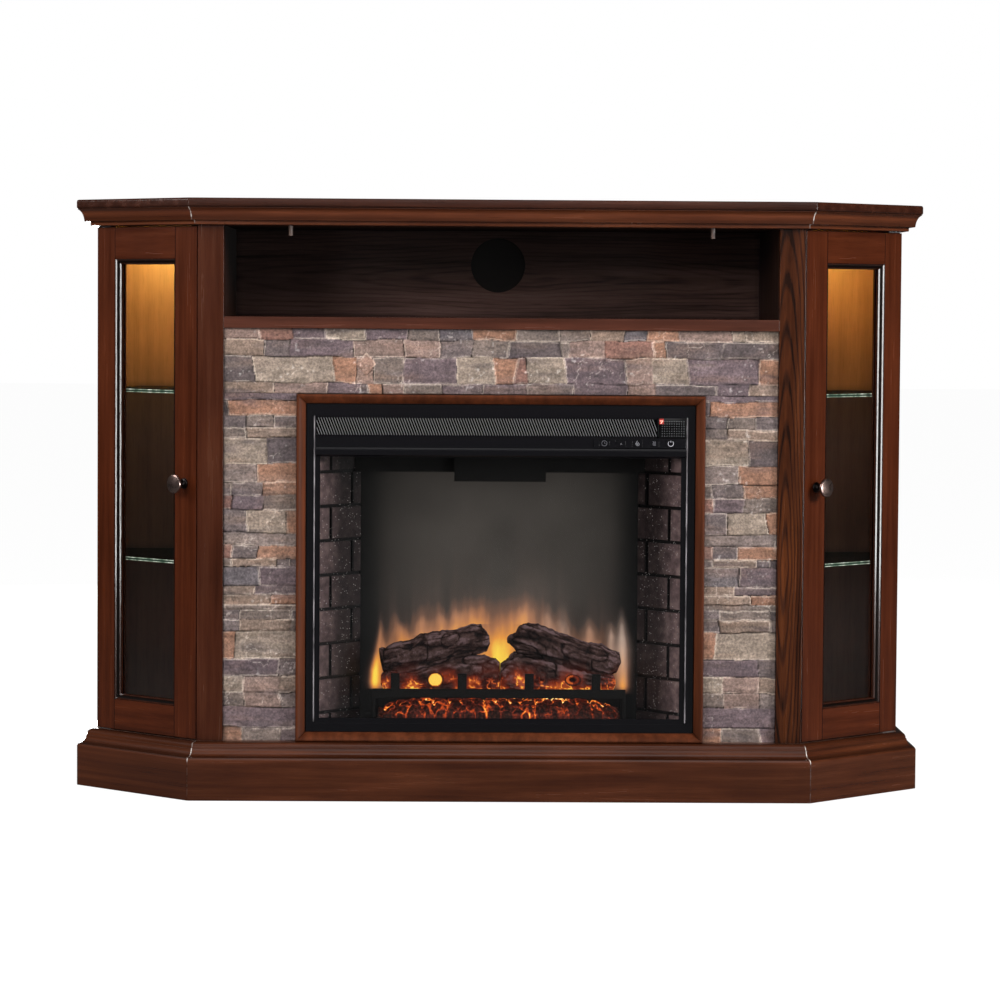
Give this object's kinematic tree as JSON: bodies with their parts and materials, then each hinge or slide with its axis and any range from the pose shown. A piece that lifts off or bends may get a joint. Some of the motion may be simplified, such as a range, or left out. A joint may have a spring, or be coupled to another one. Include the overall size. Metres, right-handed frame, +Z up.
{
  "type": "electric fireplace cabinet",
  "caption": "Electric fireplace in a media console whose angled front corners are closed by glass doors, with a stacked-stone surround and an open bay above.",
  "frame": {"origin": "on the floor, at the middle of the bounding box", "axes": "+X to the viewer's right, +Y to the back, which stands against a wall, +Z up"},
  "size_m": [1.327, 0.4, 0.92],
  "materials": {
    "mantel_wood": "satin",
    "inner_wood": "satin",
    "bare_board": "matte",
    "faux_stone": "rough",
    "bright_steel": "bright",
    "door_glass": "clear",
    "shelf_glass": "clear",
    "pewter": "satin",
    "catch_plastic": "matte",
    "light_housing": "satin",
    "warm_lens": "frosted",
    "casing_steel": "matte",
    "black_frame": "satin",
    "grille_black": "satin",
    "window_black": "gloss",
    "key_black": "matte",
    "fire_glass": "smoked",
    "brick": "matte",
    "screen": "satin",
    "charred_log": "rough",
    "iron": "matte",
    "embers": "rough",
    "aluminium": "bright",
    "zinc_steel": "satin",
    "mica": "matte",
    "board_green": "matte",
    "black_nylon": "matte"
  },
  "bodies": {
    "cabinet": {"mantel_top": "mantel_wood", "crown_moulding": "mantel_wood", "top_panel": "inner_wood", "base_moulding": "mantel_wood", "base_cleats": "bare_board", "deck_panel": "inner_wood", "pilasters": "mantel_wood", "partitions": "inner_wood", "side_panels": "mantel_wood", "bay_shelf": "mantel_wood", "bay_back": "inner_wood", "cabinet_backs": "bare_board", "surround_board": "bare_board", "stone_header": "faux_stone", "stone_leg_left": "faux_stone", "stone_leg_right": "faux_stone", "trim_frame": "mantel_wood", "bay_bolts": "bright_steel", "door_pivots": "bright_steel", "door_catches": "catch_plastic", "left_glass_shelves": "shelf_glass", "right_glass_shelves": "shelf_glass", "shelf_pins": "bright_steel", "puck_lights": "light_housing", "puck_lenses": "warm_lens", "insert_casing": "casing_steel", "rear_cover": "casing_steel", "insert_front": "black_frame", "outlet_grille": "grille_black", "display_window": "window_black", "control_panel": "window_black", "firebox_glass": "fire_glass", "brick_liners": "brick", "heat_baffle": "casing_steel", "flame_screen": "screen", "log_left": "charred_log", "log_right": "charred_log", "log_grate": "iron", "ember_bed": "embers", "rotor_motor": "zinc_steel", "led_board": "board_green", "blower_housing": "zinc_steel", "heating_element": "mica", "circuit_board": "board_green", "cord_gland": "black_nylon"},
    "left_door": {"left_door_frame": "mantel_wood", "left_door_glass": "door_glass", "left_glass_beads": "mantel_wood", "left_door_fittings": "pewter"},
    "right_door": {"right_door_frame": "mantel_wood", "right_door_glass": "door_glass", "right_glass_beads": "mantel_wood", "right_door_fittings": "pewter"},
    "timer_button": {"timer_button": "key_black"},
    "dimmer_button": {"dimmer_button": "key_black"},
    "flame_button": {"flame_button": "key_black"},
    "heat_button": {"heat_button": "key_black"},
    "power_button": {"power_button": "key_black"},
    "flame_rotor": {"flame_rotor": "aluminium"},
    "fan_wheel": {"fan_wheel": "aluminium"}
  },
  "joints": [
    {"name": "left_door_hinge", "type": "hinge", "parent": "cabinet", "child": "left_door", "pos_m": [-0.62331, -0.00221, 0.484], "axis": [0, 0, -1], "range_deg": [0, 105]},
    {"name": "right_door_hinge", "type": "hinge", "parent": "cabinet", "child": "right_door", "pos_m": [0.62331, -0.00221, 0.484], "axis": [0, 0, 1], "range_deg": [0, 105]},
    {"name": "timer_press", "type": "slide", "parent": "cabinet", "child": "timer_button", "axis": [0, 1, 0], "range_m": [0, 0.001], "stiffness_N_per_m": 400, "springref_m": -0.0005},
    {"name": "dimmer_press", "type": "slide", "parent": "cabinet", "child": "dimmer_button", "axis": [0, 1, 0], "range_m": [0, 0.001], "stiffness_N_per_m": 400, "springref_m": -0.0005},
    {"name": "flame_press", "type": "slide", "parent": "cabinet", "child": "flame_button", "axis": [0, 1, 0], "range_m": [0, 0.001], "stiffness_N_per_m": 400, "springref_m": -0.0005},
    {"name": "heat_press", "type": "slide", "parent": "cabinet", "child": "heat_button", "axis": [0, 1, 0], "range_m": [0, 0.001], "stiffness_N_per_m": 400, "springref_m": -0.0005},
    {"name": "power_press", "type": "slide", "parent": "cabinet", "child": "power_button", "axis": [0, 1, 0], "range_m": [0, 0.001], "stiffness_N_per_m": 400, "springref_m": -0.0005},
    {"name": "flame_rotor_spin", "type": "hinge", "parent": "cabinet", "child": "flame_rotor", "pos_m": [0, -0.038, 0.1508], "axis": [1, 0, 0], "continuous": true},
    {"name": "fan_spin", "type": "hinge", "parent": "cabinet", "child": "fan_wheel", "pos_m": [0, -0.061, 0.56395], "axis": [1, 0, 0], "continuous": true}
  ]
}
